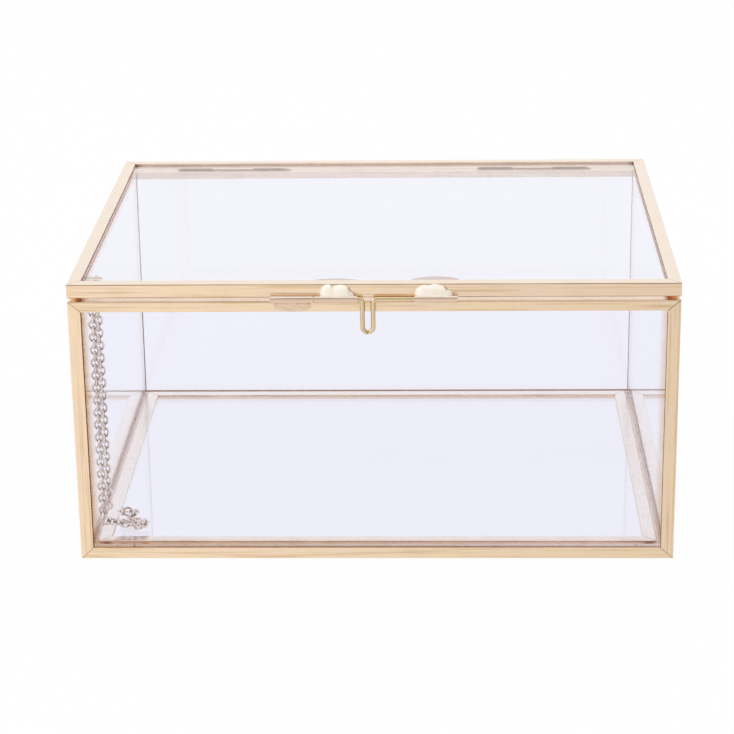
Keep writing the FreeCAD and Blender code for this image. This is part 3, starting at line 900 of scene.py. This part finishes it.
class JEWELRYBOX_OT_solder(bpy.types.Operator):
    """Lumps of pale solder that hold the sleeves, and thin runs of it on the lid's glass"""

    bl_idname = "jewelrybox.solder"
    bl_label = "Solder"

    def execute(self, context):
        finishes = context.scene.jewelry_box_finishes
        left, right = (self.front_bead(side) for side in ("left", "right"))
        hinges = [bead for side in ("left", "right") for bead in self.hinge_beads(side, right)]
        catch = self.catch_film()
        runs = [self.glass_run(side) for side in ("left", "right")]
        # Painted shade on the right-hand slopes of the beads and the catch film
        end_shade = (("Painted end shade", "Shaded end", finishes.solder_end_shade),)
        lump = (finishes.solder, finishes.solder, finishes.solder_film)
        thin = (finishes.solder_film, finishes.brass_streak, finishes.brass_line)
        run = (finishes.solder_run, finishes.solder_run, finishes.solder_film)
        for name, colours, metallic, tints, pieces in (
            ("pale_solder", lump, DULL_METALLIC, end_shade, (left, right, *hinges)),
            ("solder_film", thin, FILM_METALLIC, end_shade, (catch,)),
            ("solder_on_glass", run, DULL_METALLIC, (), runs),
        ):
            material = metal_material(
                name, "x", colours, ROUGHNESS["solder"], BUMPS["solder"], tints, metallic
            )
            for piece in pieces:
                give(piece, material)
        return {"FINISHED"}

    @staticmethod
    def front_bead(side):
        """The bead on the lid's face above one sleeve of the bolt."""
        low, high = (Vector(corner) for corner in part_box(f"bolt_solder_{side}"))
        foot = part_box(f"bolt_sleeve_{side}")[1][2] - BEAD_FOOT_DROP
        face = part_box("lid_rail_front")[0][1]
        lumps = []
        for start, end, proud, under in SOLDER_LUMPS[side]:
            lumps.append(
                dome(
                    Vector((low.x + start * MM, face - proud * MM, foot)),
                    Vector((low.x + end * MM, face + proud * MM, high.z - under * MM)),
                    face + BEAD_SINK,
                )
            )
        bead = run_together(f"solder_bead_{side}", lumps)
        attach(bead, "lid")
        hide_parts(f"bolt_solder_{side}")
        return bead

    @staticmethod
    def catch_film():
        """The thin run of solder on the base's face under the catch."""
        low, high = (Vector(corner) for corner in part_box("catch_solder"))
        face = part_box("top_rail_front")[0][1]
        sleeve_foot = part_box("catch_sleeve")[0][2]
        reach = CATCH_FILM
        run = film(
            Vector((low.x - reach["past"], face - reach["out"], low.z - reach["below"])),
            Vector((high.x + reach["past"], face + reach["into"], sleeve_foot + reach["behind"])),
        )
        run = run_together("solder_film_catch", [run])
        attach(run, "base")
        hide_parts("catch_solder")
        return run

    @staticmethod
    def glass_run(side):
        """Solder that has run over the strip's inner edge on to the lid's glass."""
        low, high = (Vector(corner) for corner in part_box(f"bolt_solder_{side}"))
        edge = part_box("lid_rail_front")[1][1]
        glass_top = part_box("lid_pane")[1][2]
        depth = GLASS_RUN_DEPTH[side]
        thick = GLASS_RUN["up_and_down"]
        run = film(
            Vector((low.x - GLASS_RUN["left"], edge - GLASS_RUN["under"], glass_top - thick)),
            Vector((high.x + GLASS_RUN["right"], edge + depth, glass_top + thick)),
        )
        run = run_together(f"solder_run_{side}", [run])
        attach(run, "lid")
        return run

    @staticmethod
    def hinge_beads(side, right):
        """The beads of one rear hinge, turned copies of the right one: one on the lid, two on the base."""
        pin_height = (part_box(f"hinge_pin_{side}")[0][2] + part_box(f"hinge_pin_{side}")[1][2]) / 2
        middle = (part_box("bolt_solder_right")[0][0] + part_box("bolt_solder_right")[1][0]) / 2
        low, high = (Vector(corner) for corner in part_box(f"hinge_lid_solder_{side}"))
        on_lid = turned_copy(right, f"solder_hinge_lid_{side}", "Z", pin_height)
        shift_selected((low.x + high.x) / 2 + middle)
        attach(on_lid, "lid")
        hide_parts(f"hinge_lid_solder_{side}")
        length = high.x - low.x
        low, high = (Vector(corner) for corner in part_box(f"hinge_base_solder_{side}"))
        pair = []
        for place in (low.x + length / 2, high.x - length / 2):
            bead = turned_copy(right, f"solder_hinge_base_{side}", "X", pin_height)
            shift_selected(place - middle)
            pair.append(bead)
        on_base = joined(pair)
        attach(on_base, "base")
        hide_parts(f"hinge_base_solder_{side}")
        return on_lid, on_base


class JEWELRYBOX_OT_stage(bpy.types.Operator):
    """White floor, soft studio light and the camera"""

    bl_idname = "jewelrybox.stage"
    bl_label = "Stage"

    def execute(self, context):
        stage = context.scene.jewelry_box_stage
        self.floor(stage)
        self.sky(context.scene, stage)
        self.lamps(stage)
        self.camera(context.scene, stage)
        context.scene.view_settings.view_transform = "Standard"
        cycles = context.scene.cycles
        cycles.max_bounces = cycles.glossy_bounces = cycles.transmission_bounces = LIGHT_BOUNCES
        return {"FINISHED"}

    @staticmethod
    def seen_directly(tree):
        """1 for rays that show the background: from the camera, through glass or off metal."""
        rays = add(tree, "ShaderNodeLightPath").outputs
        shown = arithmetic(tree, "MAXIMUM", rays["Is Camera Ray"], rays["Is Transmission Ray"])
        return arithmetic(tree, "MAXIMUM", shown, rays["Is Glossy Ray"])

    @staticmethod
    def dimmed_off_metal(tree, level):
        """The level for rays off a glossy surface, and 1 for all others, such as those through glass."""
        rays = add(tree, "ShaderNodeLightPath").outputs
        off_metal = arithmetic(tree, "SUBTRACT", rays["Is Glossy Ray"], rays["Is Transmission Ray"])
        off_metal = arithmetic(tree, "MAXIMUM", off_metal, 0.0)
        loss = arithmetic(tree, "MULTIPLY", off_metal, arithmetic(tree, "SUBTRACT", 1.0, level))
        return arithmetic(tree, "SUBTRACT", 1.0, loss)

    def floor(self, stage):
        """The white floor, which glows in part so that the shadows on it stay faint."""
        bpy.ops.object.select_all(action="DESELECT")
        bpy.ops.mesh.primitive_plane_add(size=FLOOR_SIZE)
        floor = bpy.context.object
        floor.name = "studio_floor"
        material, tree, shader = new_material("white_floor")
        tree.nodes.remove(shader)
        matt = add(tree, "ShaderNodeBsdfDiffuse")
        matt.inputs["Color"].default_value = FLOOR_GREY
        glow = add(tree, "ShaderNodeEmission")
        white = add(tree, "ShaderNodeMixShader")
        place = components(tree, add(tree, "ShaderNodeTexCoord").outputs["Object"])
        levels = (stage.floor_mirrored_left, stage.floor_mirrored_right)
        mirrored = spread(tree, place["X"], -FLOOR_FADE, FLOOR_FADE, *levels)
        tree.links.new(self.dimmed_off_metal(tree, mirrored), glow.inputs["Strength"])
        share = arithmetic(tree, "MULTIPLY", self.seen_directly(tree), stage.floor_glow)
        tree.links.new(share, white.inputs["Fac"])
        tree.links.new(matt.outputs["BSDF"], white.inputs[1])
        tree.links.new(glow.outputs["Emission"], white.inputs[2])
        tree.links.new(white.outputs["Shader"], tree.nodes["Material Output"].inputs["Surface"])
        floor.data.materials.append(material)

    def sky(self, scene, stage):
        """Even light from all round, and a darker room in front for metal to mirror."""
        world = bpy.data.worlds.new("white_studio")
        world.use_nodes = True
        scene.world = world
        tree = world.node_tree
        background = tree.nodes["Background"]
        way = components(tree, add(tree, "ShaderNodeTexCoord").outputs["Generated"])
        front = spread(tree, way["Y"], ROOM_BEGINS, ROOM_FULL, 1.0, ROOM_LEVEL)
        dark_room = self.dimmed_off_metal(tree, front)
        unseen = arithmetic(tree, "SUBTRACT", 1.0, self.seen_directly(tree))
        loss = arithmetic(tree, "MULTIPLY", unseen, 1.0 - stage.sky)
        level = arithmetic(tree, "SUBTRACT", dark_room, loss)
        tree.links.new(level, background.inputs["Strength"])
        background.inputs["Color"].default_value = WHITE

    def lamps(self, stage):
        """The softboxes, aimed at the middle of the box."""
        for name, (place, size, mirrored) in SOFTBOXES.items():
            lamp = bpy.data.lights.new(name, "AREA")
            lamp.energy = stage.lamp
            lamp.size = size
            holder = bpy.data.objects.new(name, lamp)
            bpy.context.scene.collection.objects.link(holder)
            holder.location = place
            holder.visible_glossy = holder.visible_transmission = mirrored
            aim = LAMP_AIM - Vector(place)
            holder.rotation_euler = aim.to_track_quat("-Z", "Y").to_euler()

    def camera(self, scene, stage):
        """The camera, where the photo was taken from."""
        lens = bpy.data.cameras.new("photo_camera")
        lens.lens = stage.lens
        lens.sensor_width = SENSOR_WIDTH
        camera = bpy.data.objects.new("photo_camera", lens)
        scene.collection.objects.link(camera)
        turn = Matrix.Rotation(stage.camera_left, 4, "Z")
        turn @= Matrix.Rotation(math.pi / 2 - stage.camera_down, 4, "X")
        turn @= Matrix.Rotation(-stage.camera_roll, 4, "Z")
        camera.matrix_world = Matrix.Translation(stage.camera_place) @ turn
        scene.camera = camera


class JEWELRYBOX_PT_panel(bpy.types.Panel):
    """The jewelry box's finishes and stage"""

    bl_label = "Jewelry box"
    bl_space_type = "VIEW_3D"
    bl_region_type = "UI"
    bl_category = "Jewelry box"

    def draw(self, context):
        for group in (context.scene.jewelry_box_finishes, context.scene.jewelry_box_stage):
            for name in group.__annotations__:
                self.layout.prop(group, name)
        for operator in OPERATORS:
            self.layout.operator(operator.bl_idname)


OPERATORS = (
    JEWELRYBOX_OT_brass,
    JEWELRYBOX_OT_sleeves,
    JEWELRYBOX_OT_wire,
    JEWELRYBOX_OT_chain,
    JEWELRYBOX_OT_glass,
    JEWELRYBOX_OT_solder,
    JEWELRYBOX_OT_stage,
)
CLASSES = (JewelryBoxFinishes, JewelryBoxStage, *OPERATORS, JEWELRYBOX_PT_panel)


def register():
    for each in CLASSES:
        bpy.utils.register_class(each)
    bpy.types.Scene.jewelry_box_finishes = bpy.props.PointerProperty(type=JewelryBoxFinishes)
    bpy.types.Scene.jewelry_box_stage = bpy.props.PointerProperty(type=JewelryBoxStage)


def unregister():
    del bpy.types.Scene.jewelry_box_stage
    del bpy.types.Scene.jewelry_box_finishes
    for each in reversed(CLASSES):
        bpy.utils.unregister_class(each)


def main():
    register()
    for operator in OPERATORS:
        group, name = operator.bl_idname.split(".")
        getattr(getattr(bpy.ops, group), name)()


if __name__ == "__main__":
    main()
